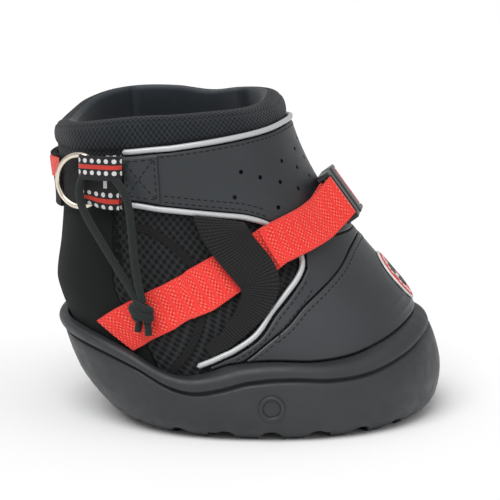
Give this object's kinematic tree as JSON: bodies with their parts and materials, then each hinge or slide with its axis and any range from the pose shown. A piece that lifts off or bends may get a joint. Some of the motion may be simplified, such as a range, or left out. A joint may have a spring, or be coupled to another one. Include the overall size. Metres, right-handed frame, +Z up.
{
  "type": "horse hoof boot",
  "caption": "Horse hoof boot with a lugged rubber cup, textile and leather upper, padded collar, buckled front strap, rear strap, pull ring and cord.",
  "frame": {"origin": "on the ground under the middle of the sole, at the centre of the tread's middle block", "axes": "+X towards the toe, +Y towards the boot's left, +Z up"},
  "size_m": [0.186, 0.158, 0.1502],
  "materials": {
    "sole_rubber": "satin moulded rubber",
    "insole_foam": "foam footbed with a textile face",
    "lining_textile": "soft knitted lining",
    "toe_stiffener": "stiffened textile",
    "side_mesh": "coarse mesh",
    "heel_textile": "smooth laminated textile",
    "toe_cap_leather": "smooth synthetic leather",
    "collar_leather": "smooth synthetic leather, perforated",
    "collar_mesh": "padded spacer mesh",
    "silver_piping": "reflective piping",
    "badge_white": "matt label",
    "badge_red": "matt label",
    "black_webbing": "ribbed webbing",
    "red_webbing": "honeycomb weave webbing",
    "buckle_plastic": "moulded acetal",
    "woven_tape": "patterned jacquard tape",
    "ring_metal": "plated wire",
    "cord_elastic": "braided elastic cord"
  },
  "bodies": {
    "boot": {"outsole": "sole_rubber", "insole": "insole_foam", "inner_bootie_front": "lining_textile", "inner_bootie_heel": "lining_textile", "toe_puff": "toe_stiffener", "quarter_mesh_right": "side_mesh", "quarter_mesh_left": "side_mesh", "heel_panel": "heel_textile", "toe_cap": "toe_cap_leather", "vamp_panel": "collar_leather", "collar_band": "collar_leather", "collar_pad": "collar_mesh", "top_piping": "silver_piping", "side_piping_right": "silver_piping", "side_piping_left": "silver_piping", "badge_base": "badge_white", "badge_ring": "badge_red", "strap_left": "red_webbing", "lower_strap_right": "red_webbing", "side_band_right": "black_webbing", "side_band_left": "black_webbing", "buckle_socket": "buckle_plastic", "ring_webbing": "black_webbing", "rear_strap_patch": "black_webbing", "rear_strap_near": "black_webbing"},
    "clip": {"buckle_clip": "buckle_plastic", "front_strap_right": "red_webbing"},
    "prong_upper": {"buckle_prong_upper": "buckle_plastic"},
    "prong_lower": {"buckle_prong_lower": "buckle_plastic"},
    "tail": {"strap_tail": "red_webbing"},
    "tab": {"woven_tab": "woven_tape"},
    "ring": {"rear_ring": "ring_metal"},
    "pull_cord": {"elastic_cord_left": "cord_elastic", "elastic_cord_right": "cord_elastic", "cord_knot": "cord_elastic"},
    "rear_strap": {"rear_strap_far": "black_webbing", "pull_tab": "red_webbing"}
  },
  "joints": [
    {"name": "clip_release", "type": "slide", "parent": "boot", "child": "clip", "axis": [-0.0983, -0.9952, 0], "range_m": [0, 0.022]},
    {"name": "prong_upper_squeeze", "type": "hinge", "parent": "clip", "child": "prong_upper", "pos_m": [0.02774, -0.00908, 0.10976], "axis": [-0.8026, 0.0793, -0.5912], "range_deg": [0, 8]},
    {"name": "prong_lower_squeeze", "type": "hinge", "parent": "clip", "child": "prong_lower", "pos_m": [0.03753, -0.01005, 0.09634], "axis": [0.8026, -0.0793, 0.5912], "range_deg": [0, 8]},
    {"name": "tail_lift", "type": "hinge", "parent": "clip", "child": "tail", "pos_m": [0.03128, -0.0233, 0.10305], "axis": [-0.5884, 0.0581, 0.8065], "range_deg": [0, 60]},
    {"name": "tab_swing", "type": "hinge", "parent": "boot", "child": "tab", "pos_m": [-0.06692, -0.05815, 0.114], "axis": [0, 0, 1], "range_deg": [0, 30]},
    {"name": "ring_spin", "type": "hinge", "parent": "tab", "child": "ring", "pos_m": [-0.08561, -0.04935, 0.114], "axis": [-0.4262, -0.9046, 0], "continuous": true},
    {"name": "cord_swing", "type": "hinge", "parent": "tab", "child": "pull_cord", "pos_m": [-0.07657, -0.05692, 0.1158], "axis": [-0.9046, 0.4262, 0], "range_deg": [0, 15]},
    {"name": "rear_strap_peel", "type": "hinge", "parent": "boot", "child": "rear_strap", "pos_m": [-0.09056, 0.03971, 0.11158], "axis": [0, 0, -1], "range_deg": [0, 62]}
  ],
  "couplings": [
    {"joint": "prong_lower_squeeze", "follows": "prong_upper_squeeze", "ratio": 1},
    {"joint": "cord_swing", "follows": "tab_swing", "ratio": 0.5}
  ]
}
